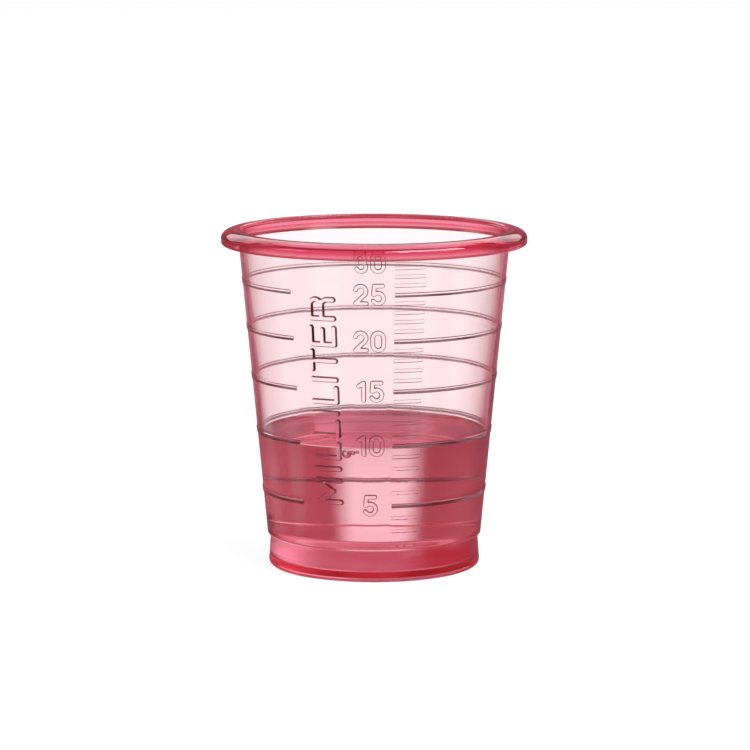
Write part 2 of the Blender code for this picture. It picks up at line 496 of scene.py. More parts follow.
@dataclass(frozen=True)
class Lettering:
    """A run of raised characters on the wall.

    Attributes:
        text: The characters.
        reading: Way in which the run goes.
        line_height: Height of the characters, between the middles of their strokes.
        angle: Angle of the start of a run round the cup, or of the middle of a run up the wall.
        base: Height of the foot of a run round the cup, or of the start of a run up the wall.
        cutter: Section of the strokes.
        gap: Room between two characters, over the width of a stroke.
        spacing: Distance between the points along a stroke.
    """

    text: str
    reading: Reading
    line_height: float
    angle: float
    base: float
    cutter: Cutter
    gap: float
    spacing: float = 0.30 * MM

    def length(self) -> float:
        """Length of the run between the middles of its outer strokes.

        Returns:
            The length in metres.
        """
        total = -CHARACTERS[self.text[0]].gap_before - CHARACTERS[self.text[-1]].gap_after
        for letter in self.text:
            shape = CHARACTERS[letter]
            total += shape.gap_before + shape.width + shape.gap_after
        return total * self.line_height + (len(self.text) - 1) * self.between()

    def between(self) -> float:
        """Distance between the stroke lines of two neighbours, before the gaps of each."""
        return self.cutter.width + self.gap

    def strokes_of(self, shape: Character, offset: float) -> list[Stroke]:
        """Strokes of one character at its real size, moved along the run.

        Args:
            shape: The character.
            offset: Place of its left edge along the run.

        Returns:
            The strokes, in metres.
        """
        size = self.line_height
        placed = []
        for stroke in shape.strokes:
            if isinstance(stroke, Straight):
                placed.append(Straight((offset + stroke.start[0] * size, stroke.start[1] * size),
                                       (offset + stroke.end[0] * size, stroke.end[1] * size)))
            else:
                centre = (offset + stroke.centre[0] * size, stroke.centre[1] * size)
                placed.append(Bow(centre, stroke.radius * size, stroke.start, stroke.end))
        return placed

    def onto_wall(self, form: CupForm, x: float, y: float, lift: float) -> Place:
        """Place a point of the run's plane on the cup's wall.

        Args:
            form: Sizes of the cup.
            x: Place of the point along the run.
            y: Its height above the foot of the run.
            lift: Its height above the wall.

        Returns:
            The place.
        """
        if self.reading is Reading.UP_THE_WALL:
            height = self.base + x
            radius = form.outer(height)
            return round_the_axis(self.angle - (y - self.line_height / 2) / radius, radius + lift, height)
        height = self.base + y
        radius = form.outer(height)
        return round_the_axis(self.angle + x / radius, radius + lift, height)

    def cover(self, strokes: Sequence[Stroke]) -> tuple[list[Point], list[list[int]]]:
        """Cover a character with triangles whose edges follow the corners of the section.

        Args:
            strokes: Strokes at their real size and place in the run.

        Returns:
            Points in the plane of the run, and the triangles as indices into them.
        """
        points: list[Vector] = []
        faces: list[list[int]] = []
        for reach in self.cutter.reaches():
            for stroke in strokes:
                ring = stroke.outline(reach, self.spacing)
                faces.append(list(range(len(points), len(points) + len(ring))))
                points += [Vector((x / MM, y / MM)) for x, y in ring]
        flat, _, triangles, _, _, _ = delaunay_2d_cdt(points, [], faces, INSIDE_ONLY, FLAT_TOLERANCE)
        plane = [(point.x * MM, point.y * MM) for point in flat]
        kept = []
        for triangle in triangles:
            x = sum(plane[index][0] for index in triangle) / 3
            y = sum(plane[index][1] for index in triangle) / 3
            if distance_to(strokes, x, y) < self.cutter.reaches()[0]:
                kept.append(triangle)
        return plane, kept

    def add_character(self, work: bmesh.types.BMesh, form: CupForm, strokes: Sequence[Stroke]) -> None:
        """Add one character to a bmesh, as a closed solid that is rooted in the wall.

        Args:
            work: The bmesh.
            form: Sizes of the cup.
            strokes: Strokes at their real size and place in the run.
        """
        plane, triangles = self.cover(strokes)
        top: dict[int, bmesh.types.BMVert] = {}
        bottom: dict[int, bmesh.types.BMVert] = {}
        for index in sorted({index for triangle in triangles for index in triangle}):
            x, y = plane[index]
            lift = self.cutter.lift_at(distance_to(strokes, x, y))
            top[index] = work.verts.new(self.onto_wall(form, x, y, lift))
            bottom[index] = work.verts.new(self.onto_wall(form, x, y, -self.cutter.root))
        for triangle in triangles:
            work.faces.new([top[index] for index in triangle])
            work.faces.new([bottom[index] for index in reversed(triangle)])
        edges = dict.fromkeys(
            pair for triangle in triangles for pair in zip(triangle, triangle[1:] + triangle[:1]))
        for first, second in edges:
            if (second, first) not in edges:
                work.faces.new((top[second], top[first], bottom[first], bottom[second]))

    def add_to(self, work: bmesh.types.BMesh, form: CupForm) -> None:
        """Add the whole run to a bmesh.

        Args:
            work: The bmesh.
            form: Sizes of the cup.
        """
        offset = 0.0
        for index, letter in enumerate(self.text):
            shape = CHARACTERS[letter]
            if index:
                offset += shape.gap_before * self.line_height + self.between()
            self.add_character(work, form, self.strokes_of(shape, offset))
            offset += (shape.width + shape.gap_after) * self.line_height


@dataclass(frozen=True)
class Ridge:
    """Section of a raised line: its width at the wall, its height, and the width of its two sloping sides."""

    width: float
    lift: float
    lower_flank: float
    upper_flank: float


@dataclass(frozen=True)
class ScaleLines:
    """The raised lines of the scale: short ones beside the numbers, long ones round the cup."""

    first_ml: int = 2
    capacity_ml: int = 30
    long_step_ml: int = 5
    short: Ridge = Ridge(width=0.40 * MM, lift=0.17 * MM, lower_flank=0.11 * MM, upper_flank=0.17 * MM)
    long: Ridge = Ridge(width=0.24 * MM, lift=0.031 * MM, lower_flank=0.05 * MM, upper_flank=0.13 * MM)
    root: float = 0.06 * MM
    start: float = math.radians(8.7)
    short_end: float = math.radians(22.0)
    long_end: float = math.radians(322.0)
    short_segments: int = 10
    long_segments: int = 180
    clearance: float = 0.10 * MM

    def heights(self, form: CupForm, long_lines: bool) -> list[float]:
        """Heights of the short or the long lines that clear the rim.

        Args:
            form: Sizes of the cup.
            long_lines: Whether the long lines are meant, or the short ones.

        Returns:
            The heights, lowest first.
        """
        highest = form.height - form.rim_height - self.short.width / 2 - self.clearance
        found = []
        for millilitres in range(self.first_ml, self.capacity_ml):
            height = form.level(millilitres * MILLILITRE)
            if (millilitres % self.long_step_ml == 0) is long_lines and height < highest:
                found.append(height)
        return found

    def inputs(self, form: CupForm, long_lines: bool, material: bpy.types.Material) -> dict[str, object]:
        """Values of the inputs of the ridge tree, by their names.

        Args:
            form: Sizes of the cup.
            long_lines: Whether the long lines are meant, or the short ones.
            material: Material of the cup.

        Returns:
            A value for each input but the geometry.
        """
        ridge = self.long if long_lines else self.short
        return {
            "Segments": self.long_segments if long_lines else self.short_segments,
            "Start": self.start,
            "End": self.long_end if long_lines else self.short_end,
            "Half Width": ridge.width / 2,
            "Lower Flank": ridge.lower_flank,
            "Upper Flank": ridge.upper_flank,
            "Lift": ridge.lift,
            "Root": self.root,
            "Step Radius": form.body_radius_at_step,
            "Step Height": form.foot_height,
            "Slope": math.tan(form.body_draft),
            "Material": material,
        }

    def build(self, form: CupForm, long_lines: bool, material: bpy.types.Material) -> bpy.types.Mesh:
        """Closed ridges for the short or the long lines, made by Geometry Nodes from one point a line.

        Args:
            form: The cup that the lines lie on.
            long_lines: Whether the long lines are made, or the short ones.
            material: Material of the cup.

        Returns:
            One mesh with all the ridges, each a closed solid.
        """
        points = bpy.data.meshes.new("scale_points")
        points.from_pydata([(0.0, 0.0, height) for height in self.heights(form, long_lines)], [], [])
        carrier = new_object("scale_points", points)
        modifier = carrier.modifiers.new("ridges", "NODES")
        modifier.node_group = ridge_tree()
        values = self.inputs(form, long_lines, material)
        for item in modifier.node_group.interface.items_tree:
            if item.name in values:
                modifier[item.identifier] = values[item.name]
        carrier.update_tag()
        mesh = plain_copy(carrier, "scale_ridges")
        bpy.data.objects.remove(carrier)
        work = bmesh.new()
        work.from_mesh(mesh)
        bmesh.ops.remove_doubles(work, verts=work.verts, dist=RIDGE_MERGE)
        bmesh.ops.recalc_face_normals(work, faces=work.faces)
        return mesh_from("scale_ridges", work)


@dataclass
class NodeSheet:
    """Short hand for building a node tree: adds nodes, sets their values and links their sockets."""

    tree: bpy.types.NodeTree

    def add(self, kind: str, **settings: object) -> bpy.types.Node:
        """Add a node of a kind and set its properties by name.

        Args:
            kind: Type of the node.
            settings: Its properties.

        Returns:
            The node.
        """
        node = self.tree.nodes.new(kind)
        for name, value in settings.items():
            setattr(node, name, value)
        return node

    def feed(self, socket: bpy.types.NodeSocket, value: object) -> None:
        """Give a socket a value, or a link if the value is another socket.

        Args:
            socket: The socket.
            value: The value or the other socket.
        """
        if isinstance(value, bpy.types.NodeSocket):
            self.tree.links.new(value, socket)
        else:
            socket.default_value = value

    def maths(self, operation: str, *values: object, kind: str = "ShaderNodeMath") -> bpy.types.NodeSocket:
        """Add a Math node, or a Vector Math node, and return its first output.

        Args:
            operation: What it works out.
            values: What goes into its sockets, from the first.
            kind: Type of the node.

        Returns:
            The result.
        """
        node = self.add(kind, operation=operation)
        for socket, value in zip(node.inputs, values):
            self.feed(socket, value)
        return node.outputs[0]

    def vector(self, x: object, y: object, z: object) -> bpy.types.NodeSocket:
        """Combine three values into a vector.

        Args:
            x: First value.
            y: Second value.
            z: Third value.

        Returns:
            The vector.
        """
        node = self.add("ShaderNodeCombineXYZ")
        for socket, value in zip(node.inputs, (x, y, z)):
            self.feed(socket, value)
        return node.outputs[0]

    def split(self, vector: bpy.types.NodeSocket) -> bpy.types.NodeOutputs:
        """Separate a vector into its three values.

        Args:
            vector: The vector.

        Returns:
            The three values.
        """
        node = self.add("ShaderNodeSeparateXYZ")
        self.feed(node.inputs[0], vector)
        return node.outputs

    def ramp(self, value: object, low: object, high: object) -> bpy.types.NodeSocket:
        """Mask that goes smoothly from 0 at a low value to 1 at a high one.

        Args:
            value: What the mask depends on.
            low: The value that gives 0.
            high: The value that gives 1.

        Returns:
            The mask.
        """
        span = self.add("ShaderNodeMapRange", interpolation_type="SMOOTHSTEP")
        for label, given in (("Value", value), ("From Min", low), ("From Max", high)):
            self.feed(span.inputs[label], given)
        return span.outputs[0]

    def soft_step(self, value: object, spread: object) -> bpy.types.NodeSocket:
        """Smooth step from 0 to 1 over a spread that is centred on zero."""
        return self.ramp(value, self.maths("MULTIPLY", spread, -0.5), self.maths("MULTIPLY", spread, 0.5))

    def blend(self, share: object, first: object, second: object) -> bpy.types.NodeSocket:
        """Colour between two colours.

        Args:
            share: Share of the second.
            first: First colour.
            second: Second colour.

        Returns:
            The colour.
        """
        mix = self.add("ShaderNodeMix", data_type="RGBA")
        for index, value in ((0, share), (6, first), (7, second)):
            self.feed(mix.inputs[index], value)
        return mix.outputs[2]

    def mixed(self, share: object, first: object, second: object) -> bpy.types.NodeSocket:
        """Shader between two shaders.

        Args:
            share: Share of the second.
            first: First shader.
            second: Second shader.

        Returns:
            The shader.
        """
        mix = self.add("ShaderNodeMixShader")
        for socket, value in zip(mix.inputs, (share, first, second)):
            self.feed(socket, value)
        return mix.outputs[0]

    def noise(self, place: object, scale: object, detail: float) -> bpy.types.NodeSocket:
        """Noise about 0.5 that changes over a surface.

        Args:
            place: The coordinates that it reads.
            scale: Its scale.
            detail: Its detail.

        Returns:
            The noise.
        """
        node = self.add("ShaderNodeTexNoise")
        for label, value in (("Vector", place), ("Scale", scale), ("Detail", detail)):
            self.feed(node.inputs[label], value)
        return node.outputs[0]


def empty_group(name: str, kind: str, inputs: dict[str, str], outputs: dict[str, str]) -> bpy.types.NodeTree:
    """Make a node group that has its sockets but no nodes yet.

    Args:
        name: Name of the group.
        kind: Kind of tree, such as ShaderNodeTree.
        inputs: Kind of each input by its name, such as Float.
        outputs: Kind of each output by its name.

    Returns:
        The group.
    """
    tree = bpy.data.node_groups.new(name, kind)
    for side, sockets in (("INPUT", inputs), ("OUTPUT", outputs)):
        for label, socket in sockets.items():
            tree.interface.new_socket(label, in_out=side, socket_type="NodeSocket" + socket)
    return tree


def cleared_sheet(owner: bpy.types.Material | bpy.types.World) -> NodeSheet:
    """Give a material or a world an empty node tree.

    Args:
        owner: The material or the world.

    Returns:
        The sheet to build on.
    """
    owner.use_nodes = True
    owner.node_tree.nodes.clear()
    return NodeSheet(owner.node_tree)


@dataclass
class RidgeMaker:
    """Nodes that lay one ridge round the cone at the height of each incoming point."""

    sheet: NodeSheet
    given: bpy.types.NodeOutputs

    def section(self) -> bpy.types.NodeSocket:
        """Closed section of a ridge, whose sloping sides run on below the wall to the root.

        Returns:
            The section as a curve, with the height up the wall as X and the height above the wall as Y.
        """
        sheet, given = self.sheet, self.given
        depth = sheet.maths("MULTIPLY", given["Root"], -1.0)
        share = sheet.maths("DIVIDE", given["Root"], given["Lift"])
        corners = []
        for label, side in (("Lower Flank", -1.0), ("Upper Flank", 1.0)):
            base = sheet.maths("MULTIPLY_ADD", given[label], share, given["Half Width"])
            crest = sheet.maths("SUBTRACT", given["Half Width"], given[label])
            corners.append((sheet.maths("MULTIPLY", base, side), sheet.maths("MULTIPLY", crest, side)))
        (low_base, low_crest), (high_base, high_crest) = corners
        outline = sheet.add("GeometryNodeCurvePrimitiveQuadrilateral", mode="POINTS")
        lift = given["Lift"]
        places = ((low_base, depth), (high_base, depth), (high_crest, lift), (low_crest, lift))
        for number, (rise, height) in enumerate(places, start=1):
            sheet.feed(outline.inputs[f"Point {number}"], sheet.vector(rise, height, 0.0))
        return outline.outputs["Curve"]

    def straight_ridge(self) -> bpy.types.NodeSocket:
        """Ridge along a straight line of length 1, with both ends closed.

        Returns:
            The ridge as a mesh.
        """
        sheet, segments = self.sheet, self.given["Segments"]
        spine = sheet.add("GeometryNodeMeshLine", mode="OFFSET")
        sheet.feed(spine.inputs["Count"], sheet.maths("ADD", segments, 1.0))
        sheet.feed(spine.inputs["Offset"], sheet.vector(sheet.maths("DIVIDE", 1.0, segments), 0.0, 0.0))
        curve = sheet.add("GeometryNodeMeshToCurve")
        sheet.feed(curve.inputs["Mesh"], spine.outputs["Mesh"])
        level_curve = sheet.add("GeometryNodeSetCurveNormal", mode="Z_UP")
        sheet.feed(level_curve.inputs["Curve"], curve.outputs["Curve"])
        sweep = sheet.add("GeometryNodeCurveToMesh")
        sheet.feed(sweep.inputs["Curve"], level_curve.outputs["Curve"])
        sheet.feed(sweep.inputs["Profile Curve"], self.section())
        sheet.feed(sweep.inputs["Fill Caps"], True)
        return sweep.outputs["Mesh"]

    def copies(self) -> tuple[bpy.types.NodeSocket, bpy.types.NodeSocket]:
        """Put a straight ridge at every incoming point.

        Returns:
            The ridges as real geometry, and for each of their points the place that its ridge was put at.
        """
        sheet = self.sheet
        marked = sheet.add("GeometryNodeCaptureAttribute", domain="POINT")
        marked.capture_items.new("VECTOR", "Place")
        sheet.feed(marked.inputs["Geometry"], self.given["Geometry"])
        sheet.feed(marked.inputs["Place"], sheet.add("GeometryNodeInputPosition").outputs[0])
        set_out = sheet.add("GeometryNodeInstanceOnPoints")
        sheet.feed(set_out.inputs["Points"], marked.outputs["Geometry"])
        sheet.feed(set_out.inputs["Instance"], self.straight_ridge())
        real = sheet.add("GeometryNodeRealizeInstances")
        sheet.feed(real.inputs["Geometry"], set_out.outputs["Instances"])
        return real.outputs["Geometry"], marked.outputs["Place"]

    def place_on_wall(self, line_place: bpy.types.NodeSocket) -> bpy.types.NodeSocket:
        """Place round the cone of a point of a straight ridge.

        Args:
            line_place: The place that the ridge was put at.

        Returns:
            The new place: the ridge's length becomes the angle, and its section stands on the wall.
        """
        sheet, given = self.sheet, self.given
        position = sheet.add("GeometryNodeInputPosition").outputs[0]
        local = sheet.split(sheet.maths("SUBTRACT", position, line_place, kind="ShaderNodeVectorMath"))
        sweep_angle = sheet.maths("SUBTRACT", given["End"], given["Start"])
        angle = sheet.maths("ADD", given["Start"], sheet.maths("MULTIPLY", sweep_angle, local[0]))
        rise = sheet.maths("ADD", sheet.split(line_place)[2], local[1])
        above_step = sheet.maths("SUBTRACT", rise, given["Step Height"])
        wall = sheet.maths("ADD", given["Step Radius"], sheet.maths("MULTIPLY", given["Slope"], above_step))
        radius = sheet.maths("ADD", wall, local[2])
        across = sheet.maths("MULTIPLY", radius, sheet.maths("SINE", angle))
        back = sheet.maths("MULTIPLY", sheet.maths("MULTIPLY", radius, sheet.maths("COSINE", angle)), -1.0)
        return sheet.vector(across, back, rise)

    def build(self) -> None:
        """Add all the nodes, from the incoming points to the ridges on the wall in their material."""
        sheet = self.sheet
        ridges, line_place = self.copies()
        placed = sheet.add("GeometryNodeSetPosition")
        sheet.feed(placed.inputs["Geometry"], ridges)
        sheet.feed(placed.inputs["Position"], self.place_on_wall(line_place))
        dressed = sheet.add("GeometryNodeSetMaterial")
        sheet.feed(dressed.inputs["Geometry"], placed.outputs["Geometry"])
        sheet.feed(dressed.inputs["Material"], self.given["Material"])
        sheet.feed(sheet.add("NodeGroupOutput").inputs["Geometry"], dressed.outputs["Geometry"])


def ridge_tree() -> bpy.types.NodeTree:
    """Geometry Nodes tree for the raised lines.

    Returns:
        The tree, built the first time and shared after that.
    """
    name = "scale_ridge_maker"
    if name in bpy.data.node_groups:
        return bpy.data.node_groups[name]
    sizes = ("Start", "End", "Half Width", "Lower Flank", "Upper Flank", "Lift", "Root", "Step Radius",
             "Step Height", "Slope")
    inputs = {"Geometry": "Geometry", "Segments": "Int", **dict.fromkeys(sizes, "Float")}
    inputs["Material"] = "Material"
    tree = empty_group(name, "GeometryNodeTree", inputs, {"Geometry": "Geometry"})
    sheet = NodeSheet(tree)
    RidgeMaker(sheet, sheet.add("NodeGroupInput").outputs).build()
    return tree


@dataclass(frozen=True)
class Absorption:
    """Light lost in each millimetre of a clear material, for red, green and blue."""

    red: float
    green: float
    blue: float

    def density(self) -> float:
        """Density in metres that a volume shader takes."""
        return max(self.red, self.green, self.blue) / MM

    def colour(self) -> Colour:
        """Colour of a volume shader at that density."""
        most = max(self.red, self.green, self.blue)
        return (1.0 - self.red / most, 1.0 - self.green / most, 1.0 - self.blue / most, 1.0)


# Detail of the noise that makes a surface's grain and of the one that makes its waves, and the range of the
# grain that is spread from the smoothest to the roughest
GRAIN_DETAIL = 3.0
WAVE_DETAIL = 1.0
GRAIN_RANGE = (0.3, 0.7)


def sheen_group() -> bpy.types.NodeTree:
    """Shader node group for the fine unevenness of a moulded or liquid surface.

    Returns:
        A group that gives a roughness and a bumped normal that change over the surface.
    """
    name = "surface_unevenness"
    if name in bpy.data.node_groups:
        return bpy.data.node_groups[name]
    labels = ("Smoothest", "Roughest", "Grain Scale", "Wave Scale", "Wave Height")
    outputs = {"Roughness": "Float", "Normal": "Vector"}
    tree = empty_group(name, "ShaderNodeTree", dict.fromkeys(labels, "Float"), outputs)
    sheet = NodeSheet(tree)
    given = sheet.add("NodeGroupInput").outputs
    place = sheet.add("ShaderNodeTexCoord").outputs["Object"]
    span = sheet.add("ShaderNodeMapRange")
    for label, value in (("Value", sheet.noise(place, given["Grain Scale"], GRAIN_DETAIL)),
                         ("From Min", GRAIN_RANGE[0]), ("From Max", GRAIN_RANGE[1]),
                         ("To Min", given["Smoothest"]), ("To Max", given["Roughest"])):
        sheet.feed(span.inputs[label], value)
    bump = sheet.add("ShaderNodeBump")
    sheet.feed(bump.inputs["Height"], sheet.noise(place, given["Wave Scale"], WAVE_DETAIL))
    sheet.feed(bump.inputs["Distance"], given["Wave Height"])
    result = sheet.add("NodeGroupOutput")
    sheet.feed(result.inputs["Roughness"], span.outputs[0])
    sheet.feed(result.inputs["Normal"], bump.outputs[0])
    return tree


@dataclass(frozen=True)
class ClearFinish:
    """See-through finish: what colours it in depth and at its surface, and how even that surface is.

    Attributes:
        name: Name of the material.
        ior: Index of refraction.
        clarity: Share of the light that goes through.
        absorption: Light lost on the way through.
        wall_tint: Colour of most of the surface.
        low_tint: Colour of the lowest part.
        low_below: Heights between which low_tint comes in, from full to none.
        rough_below: Heights between which low_roughness comes in, from full to none.
        high_tint: Colour of the highest and outermost part: in the cup a deeper tint of its thick rim, in the
            medicine a painted shade towards its surface.
        high_above: Heights between which high_tint comes in, from none to full.
        high_beyond: Distances from the axis between which high_tint comes in, from none to full.
        flank_tint: Painted shade on the steep sides of the raised lines and characters.
        smoothest: Least roughness of the surface.
        roughest: Greatest roughness of the surface.
        low_roughness: Roughness that the lowest part has on top of that.
        grain_scale: Scale of the noise that changes the roughness.
        wave_scale: Scale of the noise that bends the normal.
        wave_height: Height of the waves of that noise.
    """

    name: str
    ior: float
    clarity: float
    absorption: Absorption
    wall_tint: Colour
    low_tint: Colour
    low_below: Point
    rough_below: Point
    high_tint: Colour
    high_above: Point
    high_beyond: Point
    flank_tint: Colour
    smoothest: float
    roughest: float
    low_roughness: float
    grain_scale: float
    wave_scale: float
    wave_height: float

    def material(self) -> bpy.types.Material:
        """Build the material.

        Returns:
            The material.
        """
        made = bpy.data.materials.new(self.name)
        sheet = cleared_sheet(made)
        shader = sheet.add("ShaderNodeBsdfPrincipled")
        shader.inputs["Metallic"].default_value = 0.0
        shader.inputs["Transmission Weight"].default_value = self.clarity
        shader.inputs["IOR"].default_value = self.ior
        uneven = sheet.add("ShaderNodeGroup", node_tree=sheen_group())
        for label, value in (("Smoothest", self.smoothest), ("Roughest", self.roughest),
                             ("Grain Scale", self.grain_scale), ("Wave Scale", self.wave_scale),
                             ("Wave Height", self.wave_height)):
            uneven.inputs[label].default_value = value
        place = sheet.split(sheet.add("ShaderNodeTexCoord").outputs["Object"])
        dull = sheet.ramp(place[2], self.rough_below[1], self.rough_below[0])
        frosted = sheet.maths("MULTIPLY_ADD", dull, self.low_roughness, uneven.outputs["Roughness"])
        sheet.feed(shader.inputs["Base Color"], self.tint(sheet, place))
        sheet.feed(shader.inputs["Roughness"], frosted)
        sheet.feed(shader.inputs["Normal"], uneven.outputs["Normal"])
        volume = sheet.add("ShaderNodeVolumeAbsorption")
        volume.inputs["Color"].default_value = self.absorption.colour()
        volume.inputs["Density"].default_value = self.absorption.density()
        output = sheet.add("ShaderNodeOutputMaterial")
        sheet.feed(output.inputs["Surface"], shader.outputs[0])
        sheet.feed(output.inputs["Volume"], volume.outputs[0])
        return made

    def tint(self, sheet: NodeSheet, place: bpy.types.NodeOutputs) -> bpy.types.NodeSocket:
        """Colour of the surface by height and by distance from the axis, with painted shade on the steep
        sides of the raised scale; in the medicine the colour by height is a painted shade towards its
        surface.

        Args:
            sheet: Node tree of the material.
            place: The three object coordinates.

        Returns:
            The colour.
        """
        low = sheet.ramp(place[2], self.low_below[1], self.low_below[0])
        reach = sheet.maths("SQRT", sheet.maths("ADD", sheet.maths("MULTIPLY", place[0], place[0]),
                                                sheet.maths("MULTIPLY", place[1], place[1])))
        above, beyond = sheet.ramp(place[2], *self.high_above), sheet.ramp(reach, *self.high_beyond)
        high = sheet.maths("MULTIPLY", above, beyond)
        # How steep the raised sides are masks a painted shade on them
        flank_shade_share = sheet.add("ShaderNodeAttribute", attribute_name=FLANKS).outputs["Fac"]
        tone = sheet.blend(low, self.wall_tint, self.low_tint)
        tone = sheet.blend(high, tone, self.high_tint)
        return sheet.blend(flank_shade_share, tone, self.flank_tint)


TINTED_PLASTIC = ClearFinish(
    name="tinted_polypropylene", ior=1.49, clarity=0.996, absorption=Absorption(0.006, 0.115, 0.101),
    wall_tint=(1.0, 0.95, 0.96, 1.0), low_tint=(1.0, 0.84, 0.89, 1.0), low_below=(3.2 * MM, 4.0 * MM),
    rough_below=(4.6 * MM, 7.0 * MM),
    high_tint=(0.78, 0.10, 0.19, 1.0), high_above=(41.4 * MM, 43.0 * MM), high_beyond=(17.4 * MM, 18.2 * MM),
    # Painted shade that darkens the steep sides of the raised scale
    flank_tint=(0.08, 0.035, 0.045, 1.0),
    smoothest=0.03, roughest=0.06, low_roughness=0.02, grain_scale=900.0, wave_scale=160.0,
    wave_height=0.02 * MM)

RED_MEDICINE = ClearFinish(
    name="red_medicine", ior=1.34, clarity=0.996, absorption=Absorption(0.0004, 0.0125, 0.0105),
    wall_tint=(1.0, 0.97, 0.975, 1.0), low_tint=(1.0, 0.93, 0.95, 1.0), low_below=(1.0 * MM, 2.0 * MM),
    rough_below=(1.0 * MM, 2.0 * MM),
    # In the medicine this is a painted shade that darkens it towards its surface
    high_tint=(0.84, 0.78, 0.80, 1.0), high_above=(12.5 * MM, 17.8 * MM), high_beyond=(-2.0 * MM, -1.0 * MM),
    flank_tint=(1.0, 0.97, 0.975, 1.0),
    smoothest=0.0, roughest=0.03, low_roughness=0.02, grain_scale=500.0, wave_scale=120.0,
    wave_height=0.01 * MM)


@dataclass
class Cup:
    """The moulded cup with its scale, numbers and unit word, all one piece.

    Attributes:
        form: Sizes of the moulding.
        finish: Finish of the plastic.
        segments: Faces round the cup.
        number_line: Height of the numbers, between the middles of their strokes.
        number_angle: Angle of the middle of every number.
        number_gap: Room between the digits of a number.
        number_cutter: Section of the numbers' strokes.
        top_number_middle: Greatest height of a number's middle, where the highest number stands.
        unit_word: The word for the unit, which runs up the wall.
        word_line: Height of its letters, between the middles of their strokes.
        word_angle: Angle of the middle of the word.
        word_start: Height at which the word starts.
        word_cutter: Section of the word's strokes.
        lines: The raised lines.
        wall_tolerance: Distance from the cone up to which a point counts as part of the plain wall.
        least_relief: Height above the cone from which a face counts as raised.
        full_flank: Slope at which a raised side counts as fully steep, and so gets the full painted shade.
        flank_exponent: How much more painted shade the steepest sides get than the rest.
        sharp_angle: Angle between two faces from which their edge is sharp.
    """

    form: CupForm
    finish: ClearFinish
    segments: int = 192
    number_line: float = 2.25 * MM
    number_angle: float = math.radians(-2.0)
    number_gap: float = 0.20 * MM
    number_cutter: Cutter = Cutter(width=0.60 * MM, lift=0.20 * MM, flank=0.10 * MM)
    top_number_middle: float = 41.62 * MM
    unit_word: str = "MILLILITER"
    word_line: float = 3.12 * MM
    word_angle: float = math.radians(-22.9)
    word_start: float = 10.55 * MM
    word_cutter: Cutter = Cutter(width=0.74 * MM, lift=0.36 * MM, flank=0.16 * MM)
    lines: ScaleLines = ScaleLines()
    wall_tolerance: float = 0.004 * MM
    least_relief: float = 0.006 * MM
    full_flank: float = math.radians(52.0)
    flank_exponent: int = 5
    sharp_angle: float = math.radians(14.0)

    def runs(self) -> list[Lettering]:
        """Every run of characters: the numbers by the long lines, and the unit word up the wall.

        Returns:
            The runs.
        """
        found = [Lettering(self.unit_word, Reading.UP_THE_WALL, self.word_line, self.word_angle,
                           self.word_start, self.word_cutter, 0.0)]
        step = self.lines.long_step_ml
        for millilitres in range(step, self.lines.capacity_ml + step, step):
            middle = min(self.form.level(millilitres * MILLILITRE), self.top_number_middle)
            run = Lettering(str(millilitres), Reading.ROUND_THE_CUP, self.number_line, 0.0,
                            middle - self.number_line / 2, self.number_cutter, self.number_gap)
            angle = self.number_angle - run.length() / 2 / self.form.outer(middle)
            found.append(replace(run, angle=angle))
        return found

    def relief(self, material: bpy.types.Material) -> bpy.types.Object:
        """All raised lines and characters as closed solids that reach into the wall.

        Args:
            material: Material of the cup.

        Returns:
            One object that holds them all.
        """
        work = bmesh.new()
        for run in self.runs():
            run.add_to(work, self.form)
        bmesh.ops.recalc_face_normals(work, faces=work.faces)
        for long_lines in (False, True):
            ridges = self.lines.build(self.form, long_lines, material)
            work.from_mesh(ridges)
            bpy.data.meshes.remove(ridges)
        return new_object("relief_guide", mesh_from("relief_guide", work))

    def on_body(self, point: Vector) -> bool:
        """Whether a point lies on the plain conical outside.

        Args:
            point: The point.

        Returns:
            True on the plain wall between the step and the rim.
        """
        low, high = self.form.foot_height + self.form.step_depth, self.form.height - self.form.rim_height
        reach = math.hypot(point.x, point.y)
        return low < point.z < high and abs(reach - self.form.outer(point.z)) < self.wall_tolerance

    def is_raised(self, polygon: bpy.types.MeshPolygon) -> bool:
        """Whether a face belongs to a raised line or character.

        Args:
            polygon: The face.

        Returns:
            True for the crests and the sides of the relief.
        """
        low = self.form.foot_height + self.form.step_depth
        high = self.form.height - self.form.rim_height + self.form.groove_depth / 2
        middle = polygon.center
        above_wall = math.hypot(middle.x, middle.y) - self.form.outer(middle.z)
        return low < middle.z < high and self.least_relief < above_wall < self.form.groove_width / 2

    def wall_normal(self, place: Vector) -> Vector:
        """Outward normal of the conical wall at a point or beside it.

        Args:
            place: The point.

        Returns:
            The normal.
        """
        slope = self.form.body_draft
        outward = Vector((place.x, place.y, 0.0)).normalized() * math.cos(slope)
        return outward - Vector((0.0, 0.0, math.sin(slope)))

    def smooth_wall(self, mesh: bpy.types.Mesh) -> None:
        """Give the plain parts of the body's outside the true normal of their cone.

        Args:
            mesh: Mesh of the cup.
        """
        normals = [corner_normal.vector.copy() for corner_normal in mesh.corner_normals]
        for polygon in mesh.polygons:
            if not all(self.on_body(mesh.vertices[index].co) for index in polygon.vertices):
                continue
            for loop in polygon.loop_indices:
                normals[loop] = self.wall_normal(mesh.vertices[mesh.loops[loop].vertex_index].co)
        mesh.normals_split_custom_set(normals)

    def mark_flanks(self, mesh: bpy.types.Mesh) -> None:
        """Store how steep the sides of the raised lines and characters are, from 0 for level to 1, as the
        mask of their painted shade.

        Args:
            mesh: Mesh of the cup.
        """
        steepness = mesh.attributes.new(FLANKS, "FLOAT", "CORNER")
        for polygon in mesh.polygons:
            if not self.is_raised(polygon):
                continue
            tilt = polygon.normal.angle(self.wall_normal(polygon.center), 0.0)
            for loop in polygon.loop_indices:
                steepness.data[loop].value = min(1.0, tilt / self.full_flank) ** self.flank_exponent

